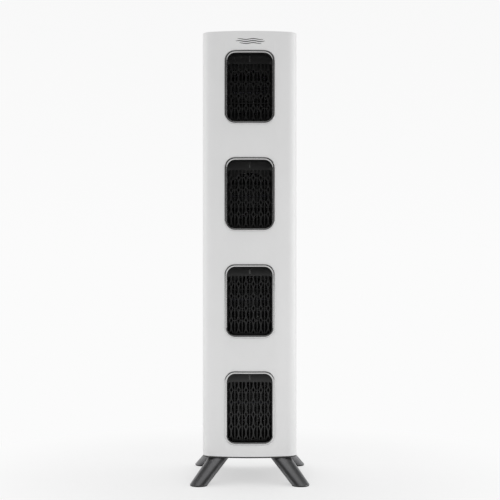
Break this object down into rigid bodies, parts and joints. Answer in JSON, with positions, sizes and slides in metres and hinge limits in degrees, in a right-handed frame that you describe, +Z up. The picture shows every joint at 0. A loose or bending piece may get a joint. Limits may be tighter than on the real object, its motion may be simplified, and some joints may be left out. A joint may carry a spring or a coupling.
{
  "type": "air purifier",
  "caption": "Tall floor-standing air purifier with bowed front, rounded outlet windows in trim rings, rear filter door and splayed legs.",
  "frame": {"origin": "on the floor, at the middle of the four feet and under the middle of the body", "axes": "+Z up, -Y out of the bowed front with the outlet windows, +X to the right of someone who faces the front"},
  "size_m": [0.268, 0.293, 1.02],
  "materials": {
    "shell_white": "satin",
    "base_dark": "satin",
    "leg_metal": "satin metallic",
    "pad_rubber": "matte",
    "fastener_steel": "satin",
    "ring_chrome": "polished",
    "grille_black": "satin",
    "duct_black": "matte",
    "cell_aluminium": "dark anodised",
    "lamp_glass": "clear",
    "chassis_steel": "powder coated black",
    "fan_frame_black": "satin",
    "fan_rotor_grey": "satin",
    "cartridge_frame": "matte",
    "filter_media": "pleated paper",
    "carbon_black": "matte",
    "screen_mesh": "woven net",
    "strike_steel": "satin",
    "magnet_black": "matte",
    "lens_dark": "gloss",
    "button_white": "satin",
    "board_green": "satin",
    "inlet_black": "fine texture",
    "pin_brass": "satin",
    "rocker_black": "gloss",
    "supply_steel": "zinc plated",
    "sensor_plastic": "matte",
    "loom_sleeve": "braided sleeve"
  },
  "bodies": {
    "cabinet": {"outer_shell": "shell_white", "rear_panel": "shell_white", "top_cap": "shell_white", "base_plate": "base_dark", "leg_front_left": "leg_metal", "leg_front_right": "leg_metal", "leg_rear_left": "leg_metal", "leg_rear_right": "leg_metal", "foot_pads": "pad_rubber", "leg_screws": "fastener_steel", "duct_screws": "fastener_steel", "chassis_screws": "fastener_steel", "fan_screws": "fastener_steel", "window_ring_1": "ring_chrome", "window_ring_2": "ring_chrome", "window_ring_3": "ring_chrome", "window_ring_4": "ring_chrome", "grille_1": "grille_black", "grille_2": "grille_black", "grille_3": "grille_black", "grille_4": "grille_black", "outlet_duct_1": "duct_black", "outlet_duct_2": "duct_black", "outlet_duct_3": "duct_black", "outlet_duct_4": "duct_black", "cell_frame_1": "cell_aluminium", "cell_frame_2": "cell_aluminium", "cell_frame_3": "cell_aluminium", "cell_frame_4": "cell_aluminium", "uv_lamps": "lamp_glass", "chassis": "chassis_steel", "fan_frame_1": "fan_frame_black", "fan_frame_2": "fan_frame_black", "fan_frame_3": "fan_frame_black", "fan_frame_4": "fan_frame_black", "filter_frames": "cartridge_frame", "filter_pleats": "filter_media", "carbon_panels": "carbon_black", "prefilter_screen": "screen_mesh", "hinge_leaves": "strike_steel", "hinge_pins": "strike_steel", "door_magnets": "magnet_black", "display_lens": "lens_dark", "control_board": "board_green", "power_inlet": "inlet_black", "inlet_pins": "pin_brass", "power_supply": "supply_steel", "air_sensor": "sensor_plastic", "wiring_loom": "loom_sleeve"},
    "fan_rotor_1": {"fan_rotor_1": "fan_rotor_grey"},
    "fan_rotor_2": {"fan_rotor_2": "fan_rotor_grey"},
    "fan_rotor_3": {"fan_rotor_3": "fan_rotor_grey"},
    "fan_rotor_4": {"fan_rotor_4": "fan_rotor_grey"},
    "door": {"rear_door": "shell_white", "door_strikes": "strike_steel"},
    "button_power": {"button_power": "button_white"},
    "button_speed": {"button_speed": "button_white"},
    "button_mode": {"button_mode": "button_white"},
    "button_timer": {"button_timer": "button_white"},
    "rocker": {"power_rocker": "rocker_black"}
  },
  "joints": [
    {"name": "fan_spin_1", "type": "hinge", "parent": "cabinet", "child": "fan_rotor_1", "pos_m": [0, 0.01, 0.8936], "axis": [0, -1, 0], "continuous": true},
    {"name": "fan_spin_2", "type": "hinge", "parent": "cabinet", "child": "fan_rotor_2", "pos_m": [0, 0.01, 0.6523], "axis": [0, -1, 0], "continuous": true},
    {"name": "fan_spin_3", "type": "hinge", "parent": "cabinet", "child": "fan_rotor_3", "pos_m": [0, 0.01, 0.411], "axis": [0, -1, 0], "continuous": true},
    {"name": "fan_spin_4", "type": "hinge", "parent": "cabinet", "child": "fan_rotor_4", "pos_m": [0, 0.01, 0.1697], "axis": [0, -1, 0], "continuous": true},
    {"name": "door_swing", "type": "hinge", "parent": "cabinet", "child": "door", "pos_m": [-0.0885, 0.109, 0.552], "axis": [0, 0, 1], "range_deg": [0, 110]},
    {"name": "press_power", "type": "slide", "parent": "cabinet", "child": "button_power", "axis": [0, 0, -1], "range_m": [0, 0.0012], "stiffness_N_per_m": 300, "springref_m": -0.001},
    {"name": "press_speed", "type": "slide", "parent": "cabinet", "child": "button_speed", "axis": [0, 0, -1], "range_m": [0, 0.0012], "stiffness_N_per_m": 300, "springref_m": -0.001},
    {"name": "press_mode", "type": "slide", "parent": "cabinet", "child": "button_mode", "axis": [0, 0, -1], "range_m": [0, 0.0012], "stiffness_N_per_m": 300, "springref_m": -0.001},
    {"name": "press_timer", "type": "slide", "parent": "cabinet", "child": "button_timer", "axis": [0, 0, -1], "range_m": [0, 0.0012], "stiffness_N_per_m": 300, "springref_m": -0.001},
    {"name": "rocker_tilt", "type": "hinge", "parent": "cabinet", "child": "rocker", "pos_m": [0.063, 0.1, 0.082], "axis": [1, 0, 0], "range_deg": [0, 16]}
  ]
}
